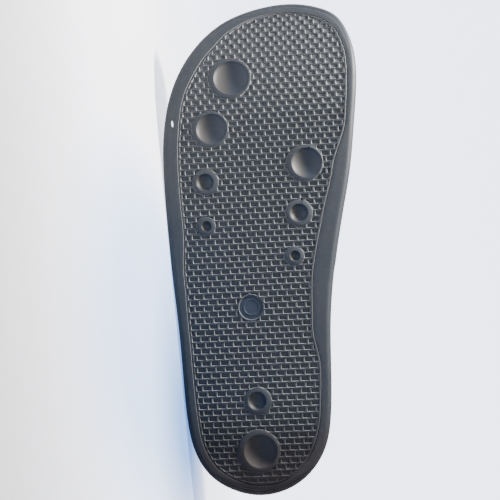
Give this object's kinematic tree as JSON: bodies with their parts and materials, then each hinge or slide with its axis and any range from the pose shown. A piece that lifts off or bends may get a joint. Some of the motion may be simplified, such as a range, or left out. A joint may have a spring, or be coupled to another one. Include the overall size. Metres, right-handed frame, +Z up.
{
  "type": "sport slide sandal",
  "caption": "Black moulded slide sandal for the right foot, with a wide strap over the instep and a brick-pattern tread with round bowls, lying on its side.",
  "frame": {"origin": "centre of the bounding box's bottom face, on the floor that the sandal lies on", "axes": "+X from the toe to the heel, +Y from the outsole's ground face to the strap, +Z up from the floor, toward the medial edge of the sole"},
  "size_m": [0.2732, 0.0896, 0.114],
  "materials": {
    "sole_rubber": "satin moulded rubber, black gone slightly grey",
    "footbed_foam": "matte foam",
    "strap_cover": "satin synthetic leather"
  },
  "bodies": {
    "root": {"outsole": "sole_rubber", "footbed": "footbed_foam", "strap": "strap_cover"}
  },
  "joints": []
}
